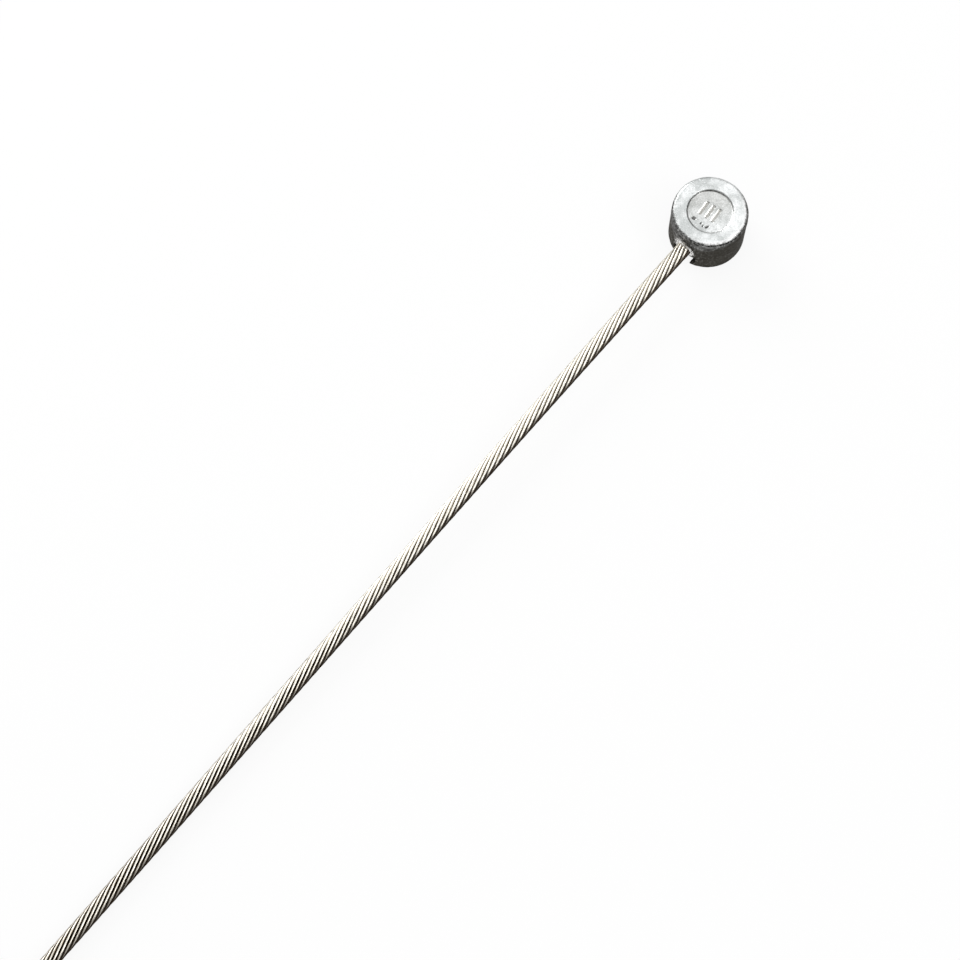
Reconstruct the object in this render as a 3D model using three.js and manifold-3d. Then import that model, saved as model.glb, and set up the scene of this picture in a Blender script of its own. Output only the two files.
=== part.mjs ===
// Bicycle brake cable: a stranded steel inner wire with a cast barrel at one end.
// The barrel stands on one of its two end faces, and that face's centre is the origin.
// The wire leaves through a slot in the barrel's side, comes down to the table in a long easy line,
// and the rest of its length lies beside it as a storage coil.
// Millimetres, +Z up.

import * as THREE from 'three';
import { mergeVertices } from 'three/addons/utils/BufferGeometryUtils.js';
import Module from 'manifold-3d';

// Cable
const CABLE_DIAMETER = 1.5;
const CABLE_SIDES = 8;
const CABLE_HEADING = THREE.MathUtils.degToRad(229.2);
const RUN_STEPS = 34;
const END_GAP = 0.3;

// Barrel
const BARREL_DIAMETER = 7.3;
const BARREL_LENGTH = 5.2;
const UPPER_EDGE_ROUND = 0.35;
const LOWER_EDGE_ROUND = 0.15;
const EDGE_STEPS = 4;
const BARREL_SEGMENTS = 72;

// Round recess in the upper end face, with cavity marks cast on its floor
const RECESS_DIAMETER = 4.5;
const RECESS_DEPTH = 0.25;
const RECESS_DRAFT = 0.08;
const MARK_COUNT = 3;
const MARK_LENGTH = 1.5;
const MARK_WIDTH = 0.3;
const MARK_HEIGHT = 0.12;
const MARK_PITCH = 0.7;
const MARK_TURN = THREE.MathUtils.degToRad(55);

// Slot in the barrel's side, open at the bottom face, with a round top over the cable and a wider foot
const SLOT_DEPTH = 0.85;
const SLOT_CLEARANCE = 0.2;
const SLOT_ARC_STEPS = 8;
const SLOT_FOOT_WIDTH = 2.6;
const SLOT_FOOT_HEIGHT = 1.7;

// Storage coil: neat layers of turns, one cable diameter apart
const COIL_MEAN_RADIUS = 12.75;
const COIL_COLUMNS = 5;
const COIL_LAYERS = 4;
const COIL_CORNER = 0.6;
const COIL_SEGMENTS = 64;

// Each overlap is how far a cutting or joined block passes the surface that it meets
const OVERLAP = 0.5;

const CABLE_RADIUS = CABLE_DIAMETER / 2;
const BARREL_RADIUS = BARREL_DIAMETER / 2;
const EXIT_HEIGHT = BARREL_LENGTH / 2;
const SLOT_FLOOR_RADIUS = BARREL_RADIUS - SLOT_DEPTH;
const RUN_START_RADIUS = SLOT_FLOOR_RADIUS + END_GAP;

// Route of the cable on the table after the slot: x, y, and the share of the exit height still to come down
const ROUTE = [
    [-3.27, -3.78, 1],
    [-5.23, -6.06, 0.99],
    [-7.84, -9.09, 0.967],
    [-11.75, -13.64, 0.906],
    [-16.31, -18.95, 0.809],
    [-21.51, -25.03, 0.67],
    [-26.7, -31.12, 0.516],
    [-31.88, -37.21, 0.36],
    [-37.05, -43.31, 0.218],
    [-42.22, -49.42, 0.103],
    [-47.37, -55.54, 0.026],
    [-52.51, -61.67, 0.004],
    [-57.65, -67.8, 0.004],
    [-61.5, -72.4, 0.004],
    [-65.34, -77.01, 0.004],
];

const wasm = await Module();
wasm.setup();

// A three.js geometry as a solid for joining and cutting
function toSolid(geometry) {
    const bare = geometry.index ? geometry.toNonIndexed() : geometry.clone();
    bare.deleteAttribute('normal');
    bare.deleteAttribute('uv');
    const merged = mergeVertices(bare, 1e-4);
    const mesh = new wasm.Mesh({
        numProp: 3,
        vertProperties: new Float32Array(merged.attributes.position.array),
        triVerts: new Uint32Array(merged.index.array),
    });
    return new wasm.Manifold(mesh);
}

// A joined or cut solid as a three.js geometry
function toGeometry(solid) {
    const mesh = solid.getMesh();
    const geometry = new THREE.BufferGeometry();
    geometry.setAttribute('position', new THREE.BufferAttribute(new Float32Array(mesh.vertProperties), 3));
    geometry.setIndex(new THREE.BufferAttribute(new Uint32Array(mesh.triVerts), 1));
    geometry.computeVertexNormals();
    return geometry;
}

// A lathe about +Z from a profile of [radius, height] points
function latheZ(profile, segments) {
    const points = profile.map(([radius, height]) => new THREE.Vector2(radius, height));
    return new THREE.LatheGeometry(points, segments).rotateX(Math.PI / 2);
}

// Points of a quarter round from angle a to angle b about [radius, height]
function quarterRound(radius, height, size, a, b, steps) {
    const points = [];
    for (let i = 0; i <= steps; i += 1) {
        const angle = a + (b - a) * i / steps;
        points.push([radius + size * Math.cos(angle), height + size * Math.sin(angle)]);
    }
    return points;
}

// The barrel's turned shape: rounded rims, a flat lower face and a recessed upper face
function barrelProfile() {
    const top = BARREL_LENGTH;
    const recess = RECESS_DIAMETER / 2;
    const lower = LOWER_EDGE_ROUND;
    const upper = UPPER_EDGE_ROUND;
    return [
        [0, 0],
        ...quarterRound(BARREL_RADIUS - lower, lower, lower, -Math.PI / 2, 0, EDGE_STEPS),
        ...quarterRound(BARREL_RADIUS - upper, top - upper, upper, 0, Math.PI / 2, EDGE_STEPS),
        [recess, top],
        [recess - RECESS_DRAFT, top - RECESS_DEPTH],
        [0, top - RECESS_DEPTH],
    ];
}

// The slot as a block: its outline across the cable is a doorway on a wider foot, pushed along the cable
function slotBlock() {
    const half = CABLE_RADIUS + SLOT_CLEARANCE;
    const foot = SLOT_FOOT_WIDTH / 2;
    const outline = new THREE.Shape();
    outline.moveTo(-foot, -OVERLAP);
    outline.lineTo(foot, -OVERLAP);
    outline.lineTo(foot, SLOT_FOOT_HEIGHT);
    outline.lineTo(half, SLOT_FOOT_HEIGHT);
    outline.lineTo(half, EXIT_HEIGHT);
    outline.absarc(0, EXIT_HEIGHT, half, 0, Math.PI, false);
    outline.lineTo(-half, SLOT_FOOT_HEIGHT);
    outline.lineTo(-foot, SLOT_FOOT_HEIGHT);
    outline.closePath();
    const block = new THREE.ExtrudeGeometry(outline, {
        depth: SLOT_DEPTH + OVERLAP,
        bevelEnabled: false,
        curveSegments: SLOT_ARC_STEPS,
    });
    const along = new THREE.Vector3(Math.cos(CABLE_HEADING), Math.sin(CABLE_HEADING), 0);
    const up = new THREE.Vector3(0, 0, 1);
    const across = up.clone().cross(along);
    block.applyMatrix4(new THREE.Matrix4().makeBasis(across, up, along));
    return block.translate(along.x * SLOT_FLOOR_RADIUS, along.y * SLOT_FLOOR_RADIUS, 0);
}

// Raised bars in a row on the recess floor
function markBars() {
    const bars = [];
    for (let i = 0; i < MARK_COUNT; i += 1) {
        const bar = new THREE.BoxGeometry(MARK_LENGTH, MARK_WIDTH, MARK_HEIGHT + OVERLAP);
        const offset = (i - (MARK_COUNT - 1) / 2) * MARK_PITCH;
        bar.translate(0, offset, BARREL_LENGTH - RECESS_DEPTH + (MARK_HEIGHT - OVERLAP) / 2);
        bar.rotateZ(MARK_TURN);
        bars.push(bar);
    }
    return bars;
}

function barrelEnd() {
    let body = toSolid(latheZ(barrelProfile(), BARREL_SEGMENTS));
    for (const bar of markBars()) {
        body = body.add(toSolid(bar));
    }
    return toGeometry(body.subtract(toSolid(slotBlock())));
}

// The route as points in space: out of the slot at mid-height, down to the table
function routePoints() {
    const start = new THREE.Vector3(Math.cos(CABLE_HEADING), Math.sin(CABLE_HEADING), 0);
    start.multiplyScalar(RUN_START_RADIUS).setZ(EXIT_HEIGHT);
    const drop = EXIT_HEIGHT - CABLE_RADIUS;
    return [start, ...ROUTE.map(([x, y, lift]) => new THREE.Vector3(x, y, CABLE_RADIUS + drop * lift))];
}

function cableRun(points) {
    const section = new THREE.Shape();
    for (let i = 0; i < CABLE_SIDES; i += 1) {
        const angle = 2 * Math.PI * i / CABLE_SIDES;
        const x = CABLE_RADIUS * Math.cos(angle);
        const y = CABLE_RADIUS * Math.sin(angle);
        if (i === 0) {
            section.moveTo(x, y);
        } else {
            section.lineTo(x, y);
        }
    }
    section.closePath();
    const path = new THREE.CatmullRomCurve3(points, false, 'catmullrom', 0.5);
    return new THREE.ExtrudeGeometry(section, { steps: RUN_STEPS, extrudePath: path, bevelEnabled: false });
}

// The coil's outer shape, set where the cable's straight end would run on to the outermost turn
function cableCoil(points) {
    const half = COIL_COLUMNS * CABLE_DIAMETER / 2;
    const inner = COIL_MEAN_RADIUS - half;
    const outer = COIL_MEAN_RADIUS + half;
    const height = COIL_LAYERS * CABLE_DIAMETER;
    const ring = latheZ([
        [inner, COIL_CORNER],
        [inner + COIL_CORNER, 0],
        [outer - COIL_CORNER, 0],
        [outer, COIL_CORNER],
        [outer, height - COIL_CORNER],
        [outer - COIL_CORNER, height],
        [inner + COIL_CORNER, height],
        [inner, height - COIL_CORNER],
        [inner, COIL_CORNER],
    ], COIL_SEGMENTS);
    const end = points[points.length - 1];
    const along = end.clone().sub(points[points.length - 2]).setZ(0).normalize();
    const left = new THREE.Vector3(-along.y, along.x, 0);
    const turn = outer - CABLE_RADIUS;
    const reach = outer + END_GAP + CABLE_RADIUS;
    const centre = end.clone().setZ(0);
    centre.addScaledVector(along, Math.sqrt(reach * reach - turn * turn));
    centre.addScaledVector(left, turn);
    return { ring, centre };
}

const castZinc = new THREE.MeshStandardMaterial({ color: 0xb4b8ba, roughness: 0.5, metalness: 0.9 });
const strandSteel = new THREE.MeshStandardMaterial({ color: 0xc8c3ba, roughness: 0.3, metalness: 1 });
const coilSteel = strandSteel.clone();

function addPiece(parent, name, geometry, material) {
    const mesh = new THREE.Mesh(geometry, material);
    mesh.name = name;
    parent.add(mesh);
    return mesh;
}

const cable = new THREE.Group();
const points = routePoints();
addPiece(cable, 'barrel_end', barrelEnd(), castZinc);
addPiece(cable, 'cable_run', cableRun(points), strandSteel);
const coil = cableCoil(points);
addPiece(cable, 'cable_coil', coil.ring, coilSteel).position.copy(coil.centre);

export default cable;
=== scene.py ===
import math

import bpy
import numpy as np
from mathutils import Matrix, Vector, noise


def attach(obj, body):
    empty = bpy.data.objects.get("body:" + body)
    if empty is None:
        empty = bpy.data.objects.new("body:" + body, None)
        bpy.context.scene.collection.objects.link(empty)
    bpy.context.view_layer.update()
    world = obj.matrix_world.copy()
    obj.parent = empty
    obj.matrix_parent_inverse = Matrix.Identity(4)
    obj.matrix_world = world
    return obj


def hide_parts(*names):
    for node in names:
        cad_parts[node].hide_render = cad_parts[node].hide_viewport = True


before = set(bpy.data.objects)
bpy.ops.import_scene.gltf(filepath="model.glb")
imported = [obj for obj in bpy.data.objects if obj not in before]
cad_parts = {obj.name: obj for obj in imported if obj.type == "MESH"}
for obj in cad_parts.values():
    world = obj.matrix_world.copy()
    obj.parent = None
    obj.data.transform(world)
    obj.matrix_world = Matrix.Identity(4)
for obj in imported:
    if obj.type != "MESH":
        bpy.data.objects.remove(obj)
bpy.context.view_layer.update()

# Millimetres to metres. All lengths but the studio's are in millimetres.
MM = 0.001

# Camera, fitted to the photograph
CAMERA_POSITION = (-21.769, -107.017, 249.185)
CAMERA_DOWN_ANGLE = math.radians(71.813)
CAMERA_ROLL = math.radians(0.11)
SENSOR_WIDTH = 36.0
CAMERA_LENS = 105.0
CLIP_START = 0.01

# Barrel, as in the CAD model
BARREL_RADIUS = 3.65
BARREL_LENGTH = 5.2
UPPER_EDGE_ROUND = 0.35
LOWER_EDGE_ROUND = 0.15
RECESS_RADIUS = 2.25
RECESS_DEPTH = 0.25
RECESS_DRAFT = 0.08
SLOT_DEPTH = 0.85
SLOT_FOOT_WIDTH = 2.6
SLOT_FOOT_HEIGHT = 1.7
MARK_COUNT = 3
MARK_LENGTH = 1.5
MARK_WIDTH = 0.3
MARK_PITCH = 0.7
MARK_TURN = math.radians(55)
MARK_BASE = BARREL_LENGTH - RECESS_DEPTH

# Finer than in the CAD model: lower, worn marks, and a slot foot that narrows at the lower face
MARK_HEIGHT = 0.08
SLOT_MOUTH_LIP = 0.6

# Cable, on the CAD model's route. It starts buried in the barrel.
CABLE_DIAMETER = 1.5
CABLE_RADIUS = CABLE_DIAMETER / 2
CABLE_LENGTH = 1700.0
CABLE_HEADING = math.radians(229.2)
EXIT_HEIGHT = BARREL_LENGTH / 2
SLOT_FLOOR_RADIUS = BARREL_RADIUS - SLOT_DEPTH
END_GAP = 0.3
BURIED_START_RADIUS = 1.9
CURVE_STEPS = 12

# The route on the table after the slot: x, y, and the share of the exit height still to come down
ROUTE = [
    (-3.27, -3.78, 1),
    (-5.23, -6.06, 0.99),
    (-7.84, -9.09, 0.967),
    (-11.75, -13.64, 0.906),
    (-16.31, -18.95, 0.809),
    (-21.51, -25.03, 0.67),
    (-26.7, -31.12, 0.516),
    (-31.88, -37.21, 0.36),
    (-37.05, -43.31, 0.218),
    (-42.22, -49.42, 0.103),
    (-47.37, -55.54, 0.026),
    (-52.51, -61.67, 0.004),
    (-57.65, -67.8, 0.004),
    (-61.5, -72.4, 0.004),
    (-65.34, -77.01, 0.004),
]

# Storage coil, as wide and high as in the CAD model. Each turn steps over to the next within one sector.
COIL_MEAN_RADIUS = 12.75
COIL_COLUMNS = 5
COIL_LAYERS = 4
COIL_STEP_SECTOR = math.radians(60)
COIL_STEP_BULGE = 0.55
COIL_POINTS_PER_TURN = 72
RUN_ON_SHARES = (0.33, 0.66)

# The strand: twelve outer wires laid left-handed, with a finer mesh where the photograph shows it
OUTER_WIRES = 12
GROOVE_DEPTH = 0.145
GROOVE_POWER = 2.3
LAY_LENGTH = 13.6
FINE_LENGTH = 99.0
FINE_STEP = 0.5
FINE_POINTS_PER_WIRE = 8
COARSE_STEP = 1.0
COARSE_POINTS_PER_WIRE = 4
TIP_LENGTH = 1.6
TIP_OFF_CROWN = 0.35
TIP_RINGS = 12
TIP_RING_SPACING = 1.6
TIP_RADIUS_SHARE = 0.93
TIP_END_SHARE = 0.02


def add_camera():
    data = bpy.data.cameras.new("photo_camera")
    data.sensor_width = SENSOR_WIDTH
    data.lens = CAMERA_LENS
    data.clip_start = CLIP_START
    camera = bpy.data.objects.new("photo_camera", data)
    place = Matrix.Translation(Vector(CAMERA_POSITION) * MM)
    tilt = Matrix.Rotation(math.pi / 2 - CAMERA_DOWN_ANGLE, 4, "X")
    camera.matrix_world = place @ tilt @ Matrix.Rotation(CAMERA_ROLL, 4, "Z")
    bpy.context.scene.collection.objects.link(camera)
    bpy.context.scene.camera = camera


def add_mesh(name, vertices, faces):
    mesh = bpy.data.meshes.new(name)
    mesh.from_pydata([tuple(v) for v in vertices], [], faces)
    mesh.update()
    piece = bpy.data.objects.new(name, mesh)
    bpy.context.scene.collection.objects.link(piece)
    return piece


# Cable route

def route_points():
    along = np.array([math.cos(CABLE_HEADING), math.sin(CABLE_HEADING), 0.0])
    up = np.array([0.0, 0.0, EXIT_HEIGHT])
    drop = EXIT_HEIGHT - CABLE_RADIUS
    points = [along * BURIED_START_RADIUS + up, along * (SLOT_FLOOR_RADIUS + END_GAP) + up]
    points += [np.array([x, y, CABLE_RADIUS + drop * lift]) for x, y, lift in ROUTE]
    return points


def smooth_curve(points):
    """A uniform Catmull-Rom curve through the points."""
    padded = [2 * points[0] - points[1], *points, 2 * points[-1] - points[-2]]
    curve = []
    for p0, p1, p2, p3 in zip(padded, padded[1:], padded[2:], padded[3:]):
        for i in range(CURVE_STEPS):
            t = i / CURVE_STEPS
            curve.append(0.5 * (2 * p1 + (p2 - p0) * t + (2 * p0 - 5 * p1 + 4 * p2 - p3) * t ** 2
                                + (3 * p1 - p0 - 3 * p2 + p3) * t ** 3))
    curve.append(points[-1])
    return curve


def ease(x):
    x = min(max(x, 0.0), 1.0)
    return x * x * (3 - 2 * x)


def coil_place(turn, angle):
    """Radius and height at an angle within a turn. Layers wind inwards and outwards by turns. Each turn steps
    over in its last sector, and the last turn of a layer bulges out of the coil's side as it climbs."""
    layer, rank = divmod(turn, COIL_COLUMNS)
    inward = 1 if layer % 2 == 0 else -1
    column = rank if inward == 1 else COIL_COLUMNS - 1 - rank
    step = ease((angle - 2 * math.pi + COIL_STEP_SECTOR) / COIL_STEP_SECTOR)
    climbs = rank == COIL_COLUMNS - 1 and layer < COIL_LAYERS - 1
    outer_turn = COIL_MEAN_RADIUS + (COIL_COLUMNS - 1) * CABLE_DIAMETER / 2
    if climbs:
        bulge = COIL_STEP_BULGE * 4 * step * (1 - step) * inward
        return outer_turn - column * CABLE_DIAMETER - bulge, CABLE_RADIUS + (layer + step) * CABLE_DIAMETER
    return outer_turn - (column + inward * step) * CABLE_DIAMETER, CABLE_RADIUS + layer * CABLE_DIAMETER


def coil_points(end, before):
    """The straight run on to the coil's outermost turn, and the turns."""
    along = (end - before) * np.array([1, 1, 0])
    along /= np.linalg.norm(along)
    left = np.array([-along[1], along[0], 0])
    turn_radius = COIL_MEAN_RADIUS + (COIL_COLUMNS - 1) * CABLE_DIAMETER / 2
    reach = turn_radius + CABLE_DIAMETER + END_GAP
    run_on = math.sqrt(reach ** 2 - turn_radius ** 2)
    floor_centre = end + along * run_on + left * turn_radius
    first = math.atan2(-left[1], -left[0])
    points = [end + along * run_on * share for share in RUN_ON_SHARES]
    for i in range(COIL_COLUMNS * COIL_LAYERS * COIL_POINTS_PER_TURN):
        turn, place = divmod(i, COIL_POINTS_PER_TURN)
        angle = 2 * math.pi * place / COIL_POINTS_PER_TURN
        radius, height = coil_place(turn, angle)
        points.append(np.array([floor_centre[0] + radius * math.cos(first + angle),
                                floor_centre[1] + radius * math.sin(first + angle), height]))
    return points


def lengths_along(points):
    return np.concatenate([[0], np.cumsum(np.linalg.norm(np.diff(points, axis=0), axis=1))])


def cable_centreline():
    """Points of the whole cable, cut to its real length."""
    route = route_points()
    points = np.array(smooth_curve(route) + coil_points(route[-1], route[-2]))
    lengths = lengths_along(points)
    kept = points[lengths < CABLE_LENGTH]
    end = [np.interp(CABLE_LENGTH, lengths, points[:, axis]) for axis in range(3)]
    return np.vstack([kept, end])


def resample(points, stations):
    lengths = lengths_along(points)
    return np.stack([np.interp(stations, lengths, points[:, axis]) for axis in range(3)], axis=1)


def carried_frames(points):
    """Side and up vectors across the points' direction, carried on without twist."""
    tangents = np.gradient(points, axis=0)
    tangents /= np.linalg.norm(tangents, axis=1)[:, None]
    side = np.cross(tangents[0], [0, 0, 1])
    sides = []
    for tangent in tangents:
        side = side - tangent * (side @ tangent)
        side /= np.linalg.norm(side)
        sides.append(side)
    sides = np.array(sides)
    return sides, np.cross(tangents, sides)


# The strand

def strand_outline(points_per_wire):
    """Angle, radius, place across the wires and distance from the crown (0) to the groove (1), round one
    section of the strand. The wires are a little flattened where the closing die has pressed them."""
    rows = []
    for i in range(OUTER_WIRES * points_per_wire):
        place = i / points_per_wire
        off_crown = abs(2 * (place % 1) - 1)
        radius = CABLE_RADIUS - GROOVE_DEPTH * off_crown ** GROOVE_POWER
        rows.append((2 * math.pi * place / OUTER_WIRES, radius, place, off_crown))
    return np.array(rows)


def sweep_strand(points, sides, ups, stations, points_per_wire, tip):
    """A closed sweep of the strand's section. Returns vertices, faces, groove edges and four values per
    vertex: distance along, place across the wires, distance from the crown, and lean to the first side."""
    outline = strand_outline(points_per_wire)
    count = len(outline)
    vertices, marks = [], []
    for point, side, up, station in zip(points, sides, ups, stations):
        shrink, melt = 1.0, 0.0
        if tip:
            left = stations[-1] - station
            melt = ease(1 - left / TIP_LENGTH)
            dome = math.sqrt(max(0.0, 1 - max(0.0, 1 - left / CABLE_RADIUS) ** 2))
            shrink = dome * (1 - TIP_END_SHARE) + TIP_END_SHARE
        radii = (outline[:, 1] * (1 - melt) + CABLE_RADIUS * TIP_RADIUS_SHARE * melt) * shrink
        angles = outline[:, 0] - 2 * math.pi * station / LAY_LENGTH
        ring = point + radii[:, None] * (np.cos(angles)[:, None] * side + np.sin(angles)[:, None] * up)
        vertices.append(ring)
        off_crown = outline[:, 3] * (1 - melt) + TIP_OFF_CROWN * melt
        marks.append(np.stack([np.full(count, station), outline[:, 2], off_crown, np.cos(angles)], axis=1))
    rings = len(vertices)
    faces, grooves = [], []
    for r in range(rings - 1):
        for k in range(count):
            a, b = r * count + k, r * count + (k + 1) % count
            faces.append((a, b, b + count, a + count))
        grooves += [(r * count + k, (r + 1) * count + k) for k in range(0, count, points_per_wire)]
    first_centre = rings * count
    for k in range(count):
        faces.append((first_centre, (k + 1) % count, k))
        base = (rings - 1) * count
        faces.append((first_centre + 1, base + k, base + (k + 1) % count))
    vertices = np.vstack([*vertices, points[0], points[-1]])
    ends = [[stations[0], 0.5, TIP_OFF_CROWN, 0.0], [stations[-1], 0.5, TIP_OFF_CROWN, 0.0]]
    return vertices, faces, grooves, np.vstack([*marks, ends])


def build_cable():
    centreline = cable_centreline()
    fine = np.arange(0, FINE_LENGTH + FINE_STEP / 2, FINE_STEP)
    coarse = np.arange(FINE_LENGTH, CABLE_LENGTH - TIP_LENGTH, COARSE_STEP)
    tip = CABLE_LENGTH - TIP_LENGTH * (1 - np.linspace(0, 1, TIP_RINGS)) ** TIP_RING_SPACING
    coarse = np.concatenate([coarse[:-1], tip])
    stations = np.concatenate([fine, coarse[1:]])
    points = resample(centreline, stations)
    sides, ups = carried_frames(points)
    last_fine = len(fine) - 1
    vertices, faces, grooves, marks = [], [], [], []
    for rows, per_wire, is_tip in (
        (slice(0, last_fine + 1), FINE_POINTS_PER_WIRE, False),
        (slice(last_fine, None), COARSE_POINTS_PER_WIRE, True),
    ):
        part_vertices, part_faces, part_grooves, part_marks = sweep_strand(
            points[rows], sides[rows], ups[rows], stations[rows], per_wire, is_tip)
        base = sum(len(v) for v in vertices)
        vertices.append(part_vertices)
        faces += [tuple(i + base for i in face) for face in part_faces]
        grooves += [(a + base, b + base) for a, b in part_grooves]
        marks.append(part_marks)
    cable = add_mesh("stranded_cable", np.vstack(vertices) * MM, faces)
    shade_smooth(cable, grooves)
    marks = np.vstack(marks).astype(np.float32)
    place = cable.data.attributes.new("wire_place", "FLOAT_VECTOR", "POINT")
    place.data.foreach_set("vector", marks[:, :3].ravel())
    lean = cable.data.attributes.new("lean", "FLOAT", "POINT")
    lean.data.foreach_set("value", marks[:, 3].copy())
    return cable, centreline


def shade_smooth(piece, sharp_pairs=()):
    mesh = piece.data
    mesh.shade_smooth()
    if not sharp_pairs:
        return
    wanted = {tuple(sorted(pair)) for pair in sharp_pairs}
    keys = np.zeros(len(mesh.edges) * 2, dtype=np.int32)
    mesh.edges.foreach_get("vertices", keys)
    keys = np.sort(keys.reshape(-1, 2), axis=1)
    sharp = np.array([tuple(k) in wanted for k in keys.tolist()])
    attribute = mesh.attributes.new("sharp_edge", "BOOLEAN", "EDGE")
    attribute.data.foreach_set("value", sharp)


# Barrel

LATHE_SEGMENTS = 240
LOWER_EDGE_STEPS = 6
UPPER_EDGE_STEPS = 8
PARTING_HEIGHT = 4.1
PARTING_HALF_WIDTH = 0.1
PARTING_RISE = 0.04

# How far a joined or cutting block passes the surface that it meets
OVERLAP = 0.5

# The skin: an even fine mesh, with noise as height, scale, dimension, lacunarity and octaves
BARREL_VOXEL = 0.055
SMOOTH_FACTOR = 0.5
SMOOTH_ROUNDS = 6
CAST_GRAIN = 0.012
CAST_GRAIN_SCALE = 2.6
CAST_GRAIN_OCTAVES = (0.7, 2.0, 3)

# The worn rim: a wavy band of this width and height about the upper edge
RIM_WAVES = 0.03
RIM_WAVE_SCALE = 1.1
RIM_INSET = 0.1
RIM_WIDTH = 0.5
RIM_HEIGHT = 0.6

# The bead of flash over the cable, an arc in degrees. Its reach and its thickness wander with noise, whose
# settings are the step per segment, y and z.
LIP_RADIUS = 0.85
LIP_THICKNESS = 0.13
LIP_SEGMENTS = 40
LIP_SIDES = 10
LIP_START = 5
LIP_SWEEP = 170
LIP_AHEAD = 3.66
LIP_SAG = 0.12
LIP_REACH_WANDER = 0.10
LIP_REACH_NOISE = (0.31, 4.2, 1.7)
LIP_THICKNESS_WANDER = 0.8
LIP_THICKNESS_NOISE = (0.47, 8.1, 0.3)

# Casting pits in the recess floor: x, y, radius, depth. They sink only the points that face up.
FACING_UP = 0.5
PITS = [
    (-1.62, -0.56, 0.15, 0.10),
    (-1.47, -0.66, 0.13, 0.09),
    (-0.90, -1.12, 0.11, 0.08),
    (-0.74, -1.42, 0.10, 0.08),
    (-0.40, -1.54, 0.13, 0.09),
    (-0.24, -1.48, 0.11, 0.08),
]


def lathe(name, profile, segments):
    """A closed lathe about Z. The profile runs from the axis to the axis."""
    inner = profile[1:-1]
    vertices = [(0, 0, profile[0][1]), (0, 0, profile[-1][1])]
    for radius, height in inner:
        for k in range(segments):
            angle = 2 * math.pi * k / segments
            vertices.append((radius * math.cos(angle), radius * math.sin(angle), height))
    faces = []
    for row in range(len(inner) - 1):
        for k in range(segments):
            a, b = 2 + row * segments + k, 2 + row * segments + (k + 1) % segments
            faces.append((a, b, b + segments, a + segments))
    last = 2 + (len(inner) - 1) * segments
    for k in range(segments):
        faces.append((0, 2 + (k + 1) % segments, 2 + k))
        faces.append((1, last + k, last + (k + 1) % segments))
    return add_mesh(name, vertices, faces)


def arc(radius, height, size, start, end, steps):
    return [(radius + size * math.cos(start + (end - start) * i / steps),
             height + size * math.sin(start + (end - start) * i / steps)) for i in range(steps + 1)]


def barrel_blank():
    top = BARREL_LENGTH
    lower, upper = LOWER_EDGE_ROUND, UPPER_EDGE_ROUND
    profile = [
        (0, 0),
        *arc(BARREL_RADIUS - lower, lower, lower, -math.pi / 2, 0, LOWER_EDGE_STEPS),
        (BARREL_RADIUS, PARTING_HEIGHT - PARTING_HALF_WIDTH),
        (BARREL_RADIUS + PARTING_RISE, PARTING_HEIGHT),
        (BARREL_RADIUS, PARTING_HEIGHT + PARTING_HALF_WIDTH),
        *arc(BARREL_RADIUS - upper, top - upper, upper, 0, math.pi / 2, UPPER_EDGE_STEPS),
        (RECESS_RADIUS, top),
        (RECESS_RADIUS - RECESS_DRAFT, top - RECESS_DEPTH),
        (0, top - RECESS_DEPTH),
    ]
    return lathe("barrel", profile, LATHE_SEGMENTS)


def prism(name, outline, depth):
    """A closed prism from Y = 0 to Y = depth. Its outline in X and Z runs anticlockwise seen from Y = 0."""
    count = len(outline)
    vertices = [(x, 0, z) for x, z in outline] + [(x, depth, z) for x, z in outline]
    faces = [tuple(range(count)), tuple(range(2 * count - 1, count - 1, -1))]
    faces += [(k, k + count, (k + 1) % count + count, (k + 1) % count) for k in range(count)]
    return add_mesh(name, vertices, faces)


def mirrored(points):
    return points + [(-x, z) for x, z in reversed(points)]


def combine(piece, other, operation):
    """A boolean on piece, applied. other is deleted."""
    modifier = piece.modifiers.new(operation, "BOOLEAN")
    modifier.operation = operation
    modifier.solver = "EXACT"
    modifier.object = other
    apply_modifiers(piece)
    bpy.data.objects.remove(other)


def apply_modifiers(piece):
    bpy.context.view_layer.update()
    graph = bpy.context.evaluated_depsgraph_get()
    mesh = bpy.data.meshes.new_from_object(piece.evaluated_get(graph))
    piece.modifiers.clear()
    piece.data = mesh


def turned(piece, heading, shift=(0, 0, 0)):
    """Shifts a piece made along +Y, then turns it about Z until +Y points along the heading."""
    turn = Matrix.Rotation(heading - math.pi / 2, 4, "Z")
    piece.data.transform(turn @ Matrix.Translation(shift))
    return piece


def noise_along(i, settings):
    step, y, z = settings
    return noise.noise(Vector((i * step, y, z)))


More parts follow.
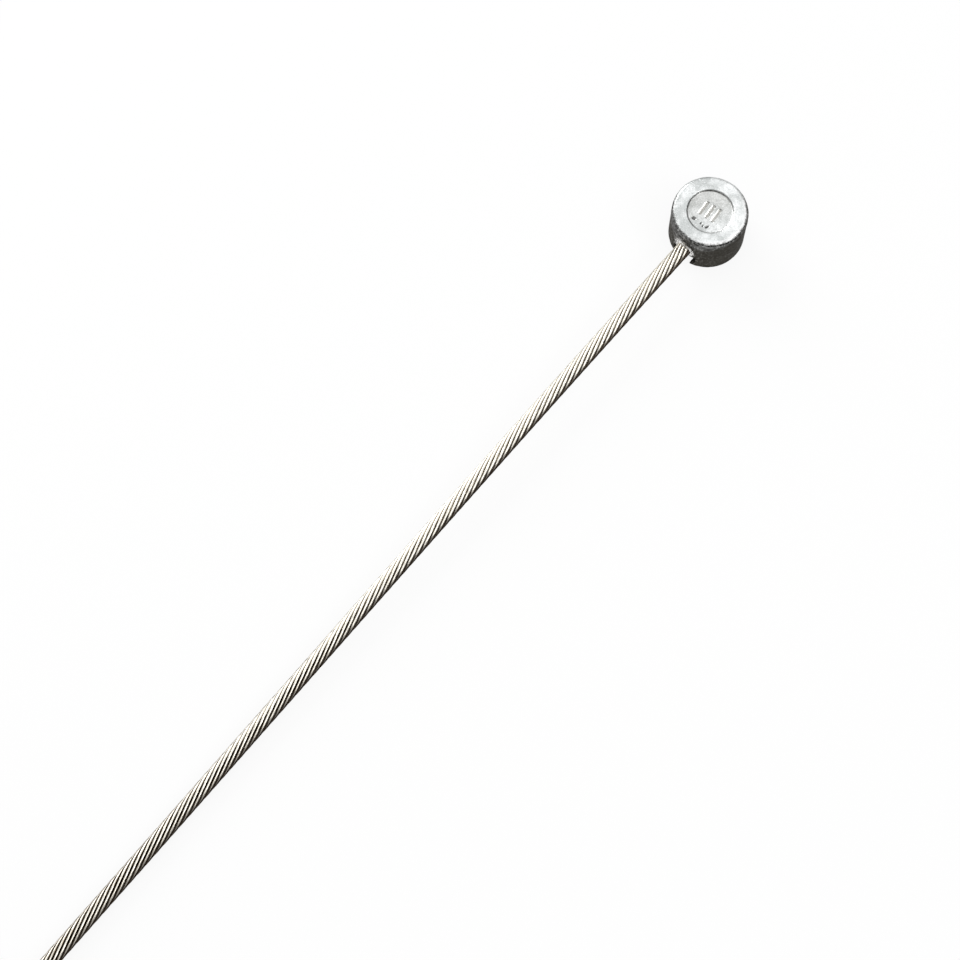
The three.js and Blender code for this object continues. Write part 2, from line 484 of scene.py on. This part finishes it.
def slot_lip():
    """The ragged bead of flash where the zinc closed round the wires: an open ring over the cable."""
    rings = []
    for i in range(LIP_SEGMENTS + 1):
        angle = math.radians(LIP_START + LIP_SWEEP * i / LIP_SEGMENTS)
        reach = LIP_RADIUS + LIP_REACH_WANDER * noise_along(i, LIP_REACH_NOISE)
        thick = LIP_THICKNESS * (1 + LIP_THICKNESS_WANDER * noise_along(i, LIP_THICKNESS_NOISE))
        ahead = LIP_AHEAD - LIP_SAG * reach * abs(math.cos(angle))
        centre = Vector((reach * math.cos(angle), ahead, reach * math.sin(angle)))
        outward = Vector((math.cos(angle), 0, math.sin(angle)))
        rings.append([centre + thick * (math.cos(t) * outward + math.sin(t) * Vector((0, 1, 0)))
                      for t in (2 * math.pi * k / LIP_SIDES for k in range(LIP_SIDES))])
    vertices = [v + Vector((0, 0, EXIT_HEIGHT)) for ring in rings for v in ring]
    faces = [tuple(range(LIP_SIDES)), tuple(LIP_SEGMENTS * LIP_SIDES + k for k in reversed(range(LIP_SIDES)))]
    for i in range(LIP_SEGMENTS):
        for k in range(LIP_SIDES):
            a, b = i * LIP_SIDES + k, i * LIP_SIDES + (k + 1) % LIP_SIDES
            faces.append((a, a + LIP_SIDES, b + LIP_SIDES, b))
    return turned(add_mesh("lip", vertices, faces), CABLE_HEADING)


def cast_skin(place, normal):
    """How far a point moves out, for an uneven skin and a worn rim, and how deep in a pit it is."""
    move = CAST_GRAIN * noise.fractal(place * CAST_GRAIN_SCALE, *CAST_GRAIN_OCTAVES)
    radius = math.hypot(place.x, place.y)
    near_rim = max(0.0, 1 - abs(radius - BARREL_RADIUS + RIM_INSET) / RIM_WIDTH)
    near_rim *= max(0.0, 1 - abs(place.z - BARREL_LENGTH) / RIM_HEIGHT)
    move += RIM_WAVES * near_rim * noise.noise(place * RIM_WAVE_SCALE)
    pitted = 0.0
    if normal.z > FACING_UP and place.z > BARREL_LENGTH - 2 * RECESS_DEPTH:
        for x, y, size, depth in PITS:
            share = math.exp(-(math.hypot(place.x - x, place.y - y) / size) ** 4)
            move -= depth * share
            pitted = max(pitted, share)
    return move, pitted


def add_marks(barrel):
    half = MARK_LENGTH / 2
    outline = mirrored([(half, MARK_BASE - OVERLAP), (half, MARK_BASE + MARK_HEIGHT)])
    for i in range(MARK_COUNT):
        offset = (i - (MARK_COUNT - 1) / 2) * MARK_PITCH
        bar = prism("mark", outline, MARK_WIDTH)
        combine(barrel, turned(bar, MARK_TURN + math.pi / 2, (0, offset - MARK_WIDTH / 2, 0)), "UNION")


def cut_foot(barrel):
    """The slot's wide foot, narrower at the lower face."""
    half = SLOT_FOOT_WIDTH / 2
    mouth = half - SLOT_MOUTH_LIP
    outline = mirrored([(mouth, -OVERLAP), (mouth, 0.0), (half, SLOT_MOUTH_LIP), (half, SLOT_FOOT_HEIGHT)])
    foot = prism("foot", outline, SLOT_DEPTH + 2 * OVERLAP)
    combine(barrel, turned(foot, CABLE_HEADING, (0, SLOT_FLOOR_RADIUS, 0)), "DIFFERENCE")


def build_barrel():
    barrel = barrel_blank()
    add_marks(barrel)
    cut_foot(barrel)
    combine(barrel, slot_lip(), "UNION")
    remesh = barrel.modifiers.new("even_skin", "REMESH")
    remesh.mode = "VOXEL"
    remesh.voxel_size = BARREL_VOXEL
    soften = barrel.modifiers.new("soften", "SMOOTH")
    soften.factor = SMOOTH_FACTOR
    soften.iterations = SMOOTH_ROUNDS
    apply_modifiers(barrel)
    mesh = barrel.data
    skin = [cast_skin(vertex.co, vertex.normal) for vertex in mesh.vertices]
    moved = [(v.co + move * v.normal) * MM for v, (move, _) in zip(mesh.vertices, skin)]
    mesh.vertices.foreach_set("co", np.array(moved, dtype=np.float32).ravel())
    pits = mesh.attributes.new("pitted", "FLOAT", "POINT")
    pits.data.foreach_set("value", [pitted for _, pitted in skin])
    mesh.update()
    mesh.shade_smooth()
    return barrel


# Materials

def new_material(name):
    material = bpy.data.materials.new(name)
    material.use_nodes = True
    material.node_tree.nodes.clear()
    return material, material.node_tree


def add_node(tree, kind, **settings):
    node = tree.nodes.new(kind)
    for key, value in settings.items():
        setattr(node, key, value)
    return node


def plug(tree, socket, value):
    """Links an output into a socket, or sets the socket to a value."""
    if isinstance(value, bpy.types.NodeSocket):
        tree.links.new(value, socket)
    else:
        socket.default_value = value


def calc(tree, operation, a, b=0.5):
    node = add_node(tree, "ShaderNodeMath", operation=operation)
    plug(tree, node.inputs[0], a)
    plug(tree, node.inputs[1], b)
    return node.outputs[0]


def add(tree, a, b):
    return calc(tree, "ADD", a, b)


def subtract(tree, a, b):
    return calc(tree, "SUBTRACT", a, b)


def multiply(tree, a, b):
    return calc(tree, "MULTIPLY", a, b)


def distance(tree, a, b):
    return calc(tree, "SQRT", add(tree, multiply(tree, a, a), multiply(tree, b, b)))


def ramp(tree, value, limits, results=(0.0, 1.0)):
    """A smooth change from the first result to the second as the value passes from one limit to the other."""
    node = add_node(tree, "ShaderNodeMapRange", interpolation_type="SMOOTHSTEP")
    for socket, item in zip(node.inputs, (value, *limits, *results)):
        plug(tree, socket, item)
    return node.outputs[0]


def blend(tree, share, a, b, kind="MIX"):
    node = add_node(tree, "ShaderNodeMix", data_type="RGBA", blend_type=kind)
    plug(tree, node.inputs["Factor"], share)
    plug(tree, node.inputs["A"], a)
    plug(tree, node.inputs["B"], b)
    return node.outputs["Result"]


def rough_noise(tree, place, settings):
    node = add_node(tree, "ShaderNodeTexNoise")
    plug(tree, node.inputs["Vector"], place)
    for name, value in zip(("Scale", "Detail", "Roughness"), settings):
        node.inputs[name].default_value = value
    return node.outputs["Fac"]


def split(tree, place):
    node = add_node(tree, "ShaderNodeSeparateXYZ")
    plug(tree, node.inputs[0], place)
    return node.outputs


def stretched(tree, place, scale):
    node = add_node(tree, "ShaderNodeVectorMath", operation="MULTIPLY")
    plug(tree, node.inputs[0], place)
    node.inputs[1].default_value = scale
    return node.outputs[0]


def grey(level):
    return (level, level, level, 1)


def finish_metal(tree, color, roughness, bump_height, bump_distance, edge_tint):
    shader = add_node(tree, "ShaderNodeBsdfPrincipled")
    shader.inputs["Metallic"].default_value = 1.0
    shader.inputs["Specular Tint"].default_value = edge_tint
    plug(tree, shader.inputs["Base Color"], color)
    plug(tree, shader.inputs["Roughness"], roughness)
    bump = add_node(tree, "ShaderNodeBump")
    bump.inputs["Strength"].default_value = 1.0
    bump.inputs["Distance"].default_value = bump_distance * MM
    plug(tree, bump.inputs["Height"], bump_height)
    plug(tree, shader.inputs["Normal"], bump.outputs["Normal"])
    out = add_node(tree, "ShaderNodeOutputMaterial")
    plug(tree, out.inputs["Surface"], shader.outputs[0])


# Wire colours
WIRE_BRIGHT = (0.93, 0.89, 0.795, 1)
# Flanks and grooves: soiling and painted shade between the wires
WIRE_FLANK_GRIME_AND_SHADE = (0.22, 0.165, 0.10, 1)
WIRE_GROOVE_GRIME_AND_SHADE = (0.030, 0.019, 0.011, 1)
# Painted shade on the dark side and on the far side
WIRE_PAINTED_SHADE = (0.038, 0.028, 0.020, 1)
WIRE_SHADED = (0.15, 0.14, 0.13, 1)
WIRE_EDGE_TINT = (0.32, 0.27, 0.20, 1)

# Where a wire's colours change on the way from its crown (0) to its groove (1)
BRIGHT_TO_FLANK = (0.42, 0.62)
FLANK_TO_GROOVE = (0.60, 0.80)

# Grime widens the dark lines, from a station along the cable on. It comes later on the light side, and on the
# dark side the sooner, wider lines are painted shade.
DARK_SIDE_SPAN = (40.0, 58.0)
DARK_SIDE_GRIME_AND_SHADE = (-0.17, 0.15)
LIGHT_SIDE_SPAN = (60.0, 80.0)
LIGHT_SIDE_GRIME = (-0.30, 0.06)
DARK_TO_LIGHT_LEAN = (-0.45, 0.5)
GRIME_PATCHES = 0.7

# Painted shade on the dark side and on the far side, by how far a point leans
PAINTED_SHADE_LEAN = (-0.76, -1.04)
SHADE_INTO_GROOVES = 0.42
SHADED_LEAN = (0.55, 0.85)
SHADED_SPAN = (34.0, 58.0)
SHADED_SHARE = (0.0, 0.75)

# Noises of the wires: scale, detail and roughness, and how far each is stretched
PATCH_NOISE = (1.0, 3.0, 0.6)
PATCH_STRETCH = (0.35, 1.0, 0.0)
DRAWN_NOISE = (1.0, 4.0, 0.6)
DRAWN_STRETCH = (0.2, 9.0, 0.0)

WIRE_TONE = 0.84
WIRE_TONE_SPREAD = 0.16
WIRE_ROUGHNESS = 0.17
WIRE_ROUGHNESS_SPREAD = 0.14
WIRE_BUMP = 0.008


def strand_material():
    """Drawn wires: bright crowns with faint drawing lines, and brown flanks and black grooves that are part
    soiling, part painted shade between the wires. The dark side and the far side carry painted shade too.
    """
    material, tree = new_material("strand_steel")
    place = add_node(tree, "ShaderNodeAttribute", attribute_name="wire_place").outputs["Vector"]
    lean = add_node(tree, "ShaderNodeAttribute", attribute_name="lean").outputs["Fac"]
    along, across, off_crown = split(tree, place)
    patches = rough_noise(tree, stretched(tree, place, PATCH_STRETCH), PATCH_NOISE)
    drawn = rough_noise(tree, stretched(tree, place, DRAWN_STRETCH), DRAWN_NOISE)

    # Grime along the cable widens the dark lines; on the dark side it comes sooner, as painted shade.
    dark_side = ramp(tree, along, DARK_SIDE_SPAN, DARK_SIDE_GRIME_AND_SHADE)
    light_side = ramp(tree, along, LIGHT_SIDE_SPAN, LIGHT_SIDE_GRIME)
    grime_and_shade = ramp(tree, lean, DARK_TO_LIGHT_LEAN, (dark_side, light_side))
    grime_and_shade = add(tree, grime_and_shade, multiply(tree, subtract(tree, patches, 0.5), GRIME_PATCHES))
    depth = add(tree, off_crown, grime_and_shade)
    # Bright crowns; flanks and grooves darkened with soiling and painted shade between the wires.
    flank = blend(tree, ramp(tree, depth, FLANK_TO_GROOVE), WIRE_FLANK_GRIME_AND_SHADE, WIRE_GROOVE_GRIME_AND_SHADE)
    color = blend(tree, ramp(tree, depth, BRIGHT_TO_FLANK), WIRE_BRIGHT, flank)

    per_wire = add_node(tree, "ShaderNodeTexWhiteNoise", noise_dimensions="1D")
    plug(tree, per_wire.inputs["W"], calc(tree, "FLOOR", across))
    tone = add(tree, WIRE_TONE, multiply(tree, per_wire.outputs["Value"], WIRE_TONE_SPREAD))
    color = blend(tree, 1.0, color, tone, "MULTIPLY")

    # Painted shade on the dark side, reaching into the grooves first, and lighter painted shade on the far
    # side.
    shade_line = subtract(tree, lean, multiply(tree, off_crown, SHADE_INTO_GROOVES))
    color = blend(tree, ramp(tree, shade_line, PAINTED_SHADE_LEAN), color, WIRE_PAINTED_SHADE)
    shaded = multiply(tree, ramp(tree, lean, SHADED_LEAN), ramp(tree, along, SHADED_SPAN, SHADED_SHARE))
    color = blend(tree, shaded, color, WIRE_SHADED)

    roughness = add(tree, WIRE_ROUGHNESS, multiply(tree, drawn, WIRE_ROUGHNESS_SPREAD))
    finish_metal(tree, color, roughness, drawn, WIRE_BUMP, WIRE_EDGE_TINT)
    return material


# Noises of the casting: scale, detail and roughness, and how far each is stretched
CLOUD_NOISE = (0.9, 4.0, 0.6)
MOTTLE_NOISE = (2.4, 5.0, 0.7)
MOTTLE_STRETCH = (1.0, 1.0, 2.6)
GRAIN_NOISE = (9.0, 3.0, 0.7)
STAIN_NOISE = (3.6, 4.0, 0.7)
STREAK_NOISE = (1.3, 4.0, 0.65)
STREAK_STRETCH = (0.8, 0.8, 7.0)
FLECK_NOISE = (4.5, 3.0, 0.7)
FLECK_STRETCH = (1.0, 1.0, 0.5)
METRES_TO_MM = (1000.0, 1000.0, 1000.0)

# Colours of the face, with the ranges in which each one comes in and the shares that it reaches
FACE_DULL = (0.60, 0.625, 0.62, 1)
FACE_BRIGHT = (0.93, 0.95, 0.95, 1)
FACE_TONE_RANGE = (0.36, 0.60)
FACE_PALER_TOWARDS_X = 0.03
FLOOR_DULL = (0.44, 0.44, 0.41, 1)
FLOOR_EDGE = (RECESS_RADIUS, RECESS_RADIUS - 0.1)
FLOOR_DULL_SPAN = (-1.8, 1.2)
FLOOR_DULL_SHARE = (0.05, 0.5)
STAIN_COLOR = (0.40, 0.415, 0.41, 1)
STAIN_RANGE = (0.49, 0.64)
STAIN_SHARE = (0.0, 0.42)
MARK_COLOR = (0.36, 0.35, 0.32, 1)
MARK_RISE = (MARK_BASE + 0.02, MARK_BASE + 0.07)
MARK_EDGE = (2.1, 2.0)
MARK_SHARE = 0.85
DARK_GRAIN = (0.42, 0.43, 0.425, 1)
DARK_GRAIN_RANGE = (0.52, 0.70)
DARK_GRAIN_SHARE = (0.0, 0.5)
LIGHT_GRAIN = (0.95, 0.96, 0.96, 1)
LIGHT_GRAIN_RANGE = (0.46, 0.34)
LIGHT_GRAIN_SHARE = (0.0, 0.7)
LIT_RIM = (0.97, 0.97, 0.97, 1)
LIT_RIM_RADIUS = (3.1, 3.35)
LIT_RIM_SIDE = (0.2, 3.0)
LIT_RIM_SHARE = 0.8

# The recess's corner: a painted highlight along the wall line, with painted shade on one side of it
CORNER_RADIUS = RECESS_RADIUS - 0.06
CORNER_WIDTH = (0.03, 0.12)
CORNER_HEIGHT = (BARREL_LENGTH - 0.08, BARREL_LENGTH - 0.16)
CORNER_HIGHLIGHT = (0.95, 0.95, 0.93, 1)
CORNER_SHADE_AND_PIT_COLOR = (0.07, 0.068, 0.065, 1)
CORNER_SHADE_SIDE = (-1.8, 1.2)
CORNER_SHADE_PATCHES = (0.35, 0.6)
CORNER_SHADE_SHARE = (0.3, 1.0)
PIT_SHARE = 0.92

# Colours of the side, darkened with painted shade: a streaked band under the rim, a dark wall below it and a
# foot darker still with painted shade near the floor
BAND_DARK = (0.026, 0.025, 0.022, 1)
BAND_LIGHT = (0.24, 0.24, 0.235, 1)
BAND_STREAKS = (0.42, 0.60)
BAND_FLECK = (0.48, 0.48, 0.47, 1)
BAND_FLECK_SHARE = 0.8
WALL_DARK = (0.050, 0.046, 0.038, 1)
WALL_LIGHT = (0.115, 0.11, 0.098, 1)
WALL_STREAKS = (0.45, 0.75)
WALL_FLECK = (0.27, 0.265, 0.25, 1)
WALL_FLECK_SPAN = (0.5, -2.0)
WALL_FLECK_SHARE = (0.25, 0.75)
FLECK_RANGE = (0.50, 0.64)
WALL_TO_BAND = (3.8, 4.7)
BAND_RAGGED = 1.4
BAND_TILT = 0.25
FOOT_SHADE = (0.012, 0.011, 0.010, 1)
FOOT_HEIGHT = (0.05, 0.5)
FOOT_SHARE = (0.8, 0.0)

# Where the face ends and the side's painted shade begins: further out on the side away from the viewer, with
# a ragged line
FACE_RAGGED = 0.5
FACE_EDGE_SPAN = (0.5, 3.0)
FACE_EDGE_RADIUS = (3.38, 3.62)
FACE_FADE = (0.20, -0.12)
FACE_HEIGHT = (4.5, 5.0)

# Fresh flash round the slot, near-white as fresh zinc and partly as a painted highlight, with longer tatters
# on one side of the cable
FRESH_FLASH_AND_HIGHLIGHT = (0.98, 0.97, 0.95, 1)
FRESH_RADIUS = (1.06, 0.96)
FRESH_AHEAD = (3.15, 3.3)
TATTER_GRAIN = 0.45
TATTER_SIDE = (-0.6, 0.5)
TATTER_LENGTH = (0.8, 3.2)

SIDE_ROUGHNESS = 0.52
FACE_ROUGHNESS = 0.34
FRESH_ROUGHNESS = 0.22
FACE_ROUGHNESS_HEIGHT = (4.6, 5.0)
CAST_BUMP = 0.03
CAST_BUMP_GRAIN = 0.4
CAST_EDGE_TINT = 0.5


def cast_patterns(tree):
    """The barrel's coordinates in millimetres, and the noises that its colours share."""
    coordinates = add_node(tree, "ShaderNodeTexCoord")
    place = stretched(tree, coordinates.outputs["Object"], METRES_TO_MM)
    x, y, z = split(tree, place)
    return {
        "x": x,
        "y": y,
        "z": z,
        "radius": distance(tree, x, y),
        "clouds": rough_noise(tree, place, CLOUD_NOISE),
        "mottle": rough_noise(tree, stretched(tree, place, MOTTLE_STRETCH), MOTTLE_NOISE),
        "grain": rough_noise(tree, place, GRAIN_NOISE),
        "stains": rough_noise(tree, place, STAIN_NOISE),
        "streaks": rough_noise(tree, stretched(tree, place, STREAK_STRETCH), STREAK_NOISE),
        "flecks": rough_noise(tree, stretched(tree, place, FLECK_STRETCH), FLECK_NOISE),
    }


def face_color(tree, skin):
    """The pale end face: clouds, stains and grain, a dull recess floor with duller marks, and a lit rim."""
    # Clouds of tone, paler towards +x.
    face_tone = add(tree, skin["clouds"], multiply(tree, skin["x"], FACE_PALER_TOWARDS_X))
    face = blend(tree, ramp(tree, face_tone, FACE_TONE_RANGE), FACE_DULL, FACE_BRIGHT)
    in_floor = ramp(tree, skin["radius"], FLOOR_EDGE)
    dulled = multiply(tree, in_floor, ramp(tree, skin["y"], FLOOR_DULL_SPAN, FLOOR_DULL_SHARE))
    face = blend(tree, dulled, face, FLOOR_DULL)
    face = blend(tree, ramp(tree, skin["stains"], STAIN_RANGE, STAIN_SHARE), face, STAIN_COLOR)
    on_mark = multiply(tree, ramp(tree, skin["z"], MARK_RISE), ramp(tree, skin["radius"], MARK_EDGE))
    face = blend(tree, multiply(tree, on_mark, MARK_SHARE), face, MARK_COLOR)
    face = blend(tree, ramp(tree, skin["grain"], DARK_GRAIN_RANGE, DARK_GRAIN_SHARE), face, DARK_GRAIN)
    face = blend(tree, ramp(tree, skin["grain"], LIGHT_GRAIN_RANGE, LIGHT_GRAIN_SHARE), face, LIGHT_GRAIN)
    lit_side = ramp(tree, subtract(tree, skin["x"], skin["y"]), LIT_RIM_SIDE)
    lit = multiply(tree, ramp(tree, skin["radius"], LIT_RIM_RADIUS), lit_side)
    return blend(tree, multiply(tree, lit, LIT_RIM_SHARE), face, LIT_RIM)


def add_corner_highlight_and_shade(tree, skin, face):
    """The face with a painted highlight on the recess's wall line, painted shade along one side of it, and
    dark pits.
    """
    from_corner = calc(tree, "ABSOLUTE", subtract(tree, skin["radius"], CORNER_RADIUS))
    corner = subtract(tree, 1.0, ramp(tree, from_corner, CORNER_WIDTH))
    wall_line = multiply(tree, corner, ramp(tree, skin["z"], CORNER_HEIGHT))
    # A painted highlight along the recess's wall line, and painted shade in patches on one side of it.
    face = blend(tree, wall_line, face, CORNER_HIGHLIGHT)
    shade_and_pits = multiply(tree, wall_line, ramp(tree, subtract(tree, skin["y"], skin["x"]), CORNER_SHADE_SIDE))
    shade_and_pits = multiply(tree, shade_and_pits, ramp(tree, skin["mottle"], CORNER_SHADE_PATCHES, CORNER_SHADE_SHARE))
    pitted = add_node(tree, "ShaderNodeAttribute", attribute_name="pitted").outputs["Fac"]
    shade_and_pits = calc(tree, "MAXIMUM", shade_and_pits, multiply(tree, pitted, PIT_SHARE))
    return blend(tree, shade_and_pits, face, CORNER_SHADE_AND_PIT_COLOR)


def side_color(tree, skin):
    """The side, darkened with painted shade: a streaked, flecked band under the rim, a plainer wall below it
    and a foot darkened further with painted shade near the floor.
    """
    flecks = ramp(tree, skin["flecks"], FLECK_RANGE)
    band = blend(tree, ramp(tree, skin["streaks"], BAND_STREAKS), BAND_DARK, BAND_LIGHT)
    band = blend(tree, multiply(tree, flecks, BAND_FLECK_SHARE), band, BAND_FLECK)
    wall = blend(tree, ramp(tree, skin["streaks"], WALL_STREAKS), WALL_DARK, WALL_LIGHT)
    wall_flecks = multiply(tree, flecks, ramp(tree, skin["x"], WALL_FLECK_SPAN, WALL_FLECK_SHARE))
    wall = blend(tree, wall_flecks, wall, WALL_FLECK)
    shifted = add(tree, skin["z"], multiply(tree, subtract(tree, skin["mottle"], 0.5), BAND_RAGGED))
    shifted = subtract(tree, shifted, multiply(tree, skin["x"], BAND_TILT))
    side = blend(tree, ramp(tree, shifted, WALL_TO_BAND), wall, band)
    # Painted shade darkens the foot towards the floor.
    return blend(tree, ramp(tree, skin["z"], FOOT_HEIGHT, FOOT_SHARE), side, FOOT_SHADE)


def on_face(tree, skin):
    """Where the face's colour shows: on top, out to a ragged line near the rim. Beyond it the side's colour
    is painted shade.
    """
    ragged = subtract(tree, add(tree, skin["stains"], skin["grain"]), 1.0)
    past_edge = add(tree, skin["radius"], multiply(tree, ragged, FACE_RAGGED))
    past_edge = subtract(tree, past_edge, ramp(tree, skin["y"], FACE_EDGE_SPAN, FACE_EDGE_RADIUS))
    return multiply(tree, ramp(tree, past_edge, FACE_FADE), ramp(tree, skin["z"], FACE_HEIGHT))


def on_fresh_flash(tree, skin):
    """Where the flash shows: close round the cable, on the barrel's outside."""
    along = (math.cos(CABLE_HEADING), math.sin(CABLE_HEADING))
    ahead = add(tree, multiply(tree, skin["x"], along[0]), multiply(tree, skin["y"], along[1]))
    aside = subtract(tree, multiply(tree, skin["x"], along[1]), multiply(tree, skin["y"], along[0]))
    off_axis = distance(tree, aside, subtract(tree, skin["z"], EXIT_HEIGHT))
    length = ramp(tree, aside, TATTER_SIDE, TATTER_LENGTH)
    tatters = multiply(tree, subtract(tree, skin["grain"], TATTER_GRAIN), length)
    fresh = ramp(tree, subtract(tree, off_axis, tatters), FRESH_RADIUS)
    return multiply(tree, fresh, ramp(tree, ahead, FRESH_AHEAD))


def cast_material():
    """Die-cast zinc: a pale satin face, a mottled side darkened with painted shade, and fresh flash at the
    slot, near-white partly as a painted highlight.
    """
    material, tree = new_material("cast_zinc")
    skin = cast_patterns(tree)
    face = add_corner_highlight_and_shade(tree, skin, face_color(tree, skin))
    # Below the face's edge, the side's dark colour is painted shade.
    color = blend(tree, on_face(tree, skin), side_color(tree, skin), face)
    fresh = on_fresh_flash(tree, skin)
    # Near-white flash round the cable: fresh zinc, partly a painted highlight.
    color = blend(tree, fresh, color, FRESH_FLASH_AND_HIGHLIGHT)
    upper = ramp(tree, skin["z"], FACE_ROUGHNESS_HEIGHT)
    roughness = blend(tree, upper, grey(SIDE_ROUGHNESS), grey(FACE_ROUGHNESS))
    roughness = blend(tree, fresh, roughness, grey(FRESH_ROUGHNESS))
    height = add(tree, multiply(tree, skin["grain"], CAST_BUMP_GRAIN), skin["mottle"])
    finish_metal(tree, color, roughness, height, CAST_BUMP, grey(CAST_EDGE_TINT))
    return material


# Studio

# The floor, in metres, and how far the camera and reflections see it as plain white
FLOOR_HALF = 3.0
FLOOR_COLOR = (0.93, 0.93, 0.93, 1)
FLOOR_WHITE = 0.88

# Level light from all round
STUDIO_FILL = 0.55

# The dark card on the floor, in metres
CARD_START = (-0.0435, -0.081)
CARD_END = (0.020, -0.006)
CARD_HEIGHT = 0.009
CARD_COLOR = (0.02, 0.02, 0.02, 1)

# Soft boxes, in metres: name, position, width, height and how bright each one looks
LAMP_TARGET = (-0.03, -0.035, 0)
LAMPS = [
    ("left_panel", (-0.28, 0.32, 0.22), 0.3, 0.3, 4.5),
    ("overhead", (0.08, 0.05, 0.6), 0.9, 0.9, 0.7),
    ("right_panel", (0.313, -0.218, 0.389), 0.25, 0.2, 3.0),
]


def add_floor():
    """A white paper floor. Camera, glossy and transmission rays see it mixed with plain white, so that the
    background is pale, with a faint shadow, and the light on the object stays low."""
    corners = [(FLOOR_HALF * x, FLOOR_HALF * y, 0) for x, y in ((-1, -1), (1, -1), (1, 1), (-1, 1))]
    floor = add_mesh("studio_floor", corners, [(0, 1, 2, 3)])
    material, tree = new_material("floor_paper")
    diffuse = add_node(tree, "ShaderNodeBsdfDiffuse")
    diffuse.inputs["Color"].default_value = FLOOR_COLOR
    white = add_node(tree, "ShaderNodeEmission")
    rays = add_node(tree, "ShaderNodeLightPath")
    seen = calc(tree, "MAXIMUM", rays.outputs["Is Camera Ray"], rays.outputs["Is Glossy Ray"])
    seen = calc(tree, "MAXIMUM", seen, rays.outputs["Is Transmission Ray"])
    mix = add_node(tree, "ShaderNodeMixShader")
    plug(tree, mix.inputs[0], multiply(tree, seen, FLOOR_WHITE))
    plug(tree, mix.inputs[1], diffuse.outputs[0])
    plug(tree, mix.inputs[2], white.outputs[0])
    out = add_node(tree, "ShaderNodeOutputMaterial")
    plug(tree, out.inputs["Surface"], mix.outputs[0])
    floor.data.materials.append(material)


def add_area_light(name, position, width, height, radiance):
    """A soft box that the camera doesn't see. Its power follows from its size and how bright it looks."""
    data = bpy.data.lights.new(name, "AREA")
    data.shape = "RECTANGLE"
    data.size = width
    data.size_y = height
    data.energy = radiance * math.pi * width * height
    light = bpy.data.objects.new(name, data)
    light.location = position
    aim = Vector(LAMP_TARGET) - Vector(position)
    light.rotation_euler = aim.to_track_quat("-Z", "Y").to_euler()
    light.visible_camera = False
    bpy.context.scene.collection.objects.link(light)


def add_dark_card():
    """A black card that stands on the floor beside the cable. Only reflections see it, as a dark side."""
    corners = [(*CARD_START, 0), (*CARD_END, 0), (*CARD_END, CARD_HEIGHT), (*CARD_START, CARD_HEIGHT)]
    card = add_mesh("dark_card", corners, [(0, 1, 2, 3)])
    card.data.materials.append(card_material())
    card.visible_camera = False
    card.visible_diffuse = False
    card.visible_shadow = False


def card_material():
    material, tree = new_material("card_black")
    diffuse = add_node(tree, "ShaderNodeBsdfDiffuse")
    diffuse.inputs["Color"].default_value = CARD_COLOR
    out = add_node(tree, "ShaderNodeOutputMaterial")
    plug(tree, out.inputs["Surface"], diffuse.outputs[0])
    return material


def add_world():
    world = bpy.data.worlds.new("studio")
    world.use_nodes = True
    tree = world.node_tree
    tree.nodes.clear()
    background = add_node(tree, "ShaderNodeBackground")
    background.inputs["Strength"].default_value = STUDIO_FILL
    out = add_node(tree, "ShaderNodeOutputWorld")
    plug(tree, out.inputs["Surface"], background.outputs[0])
    bpy.context.scene.world = world


add_camera()
cable, centreline = build_cable()
cable.data.materials.append(strand_material())
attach(cable, "root")
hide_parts("cable_run", "cable_coil")

barrel = build_barrel()
barrel.name = "cast_barrel"
barrel.data.materials.append(cast_material())
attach(barrel, "root")
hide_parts("barrel_end")

add_floor()
add_world()
for lamp in LAMPS:
    add_area_light(*lamp)
add_dark_card()
bpy.context.scene.view_settings.view_transform = "Standard"
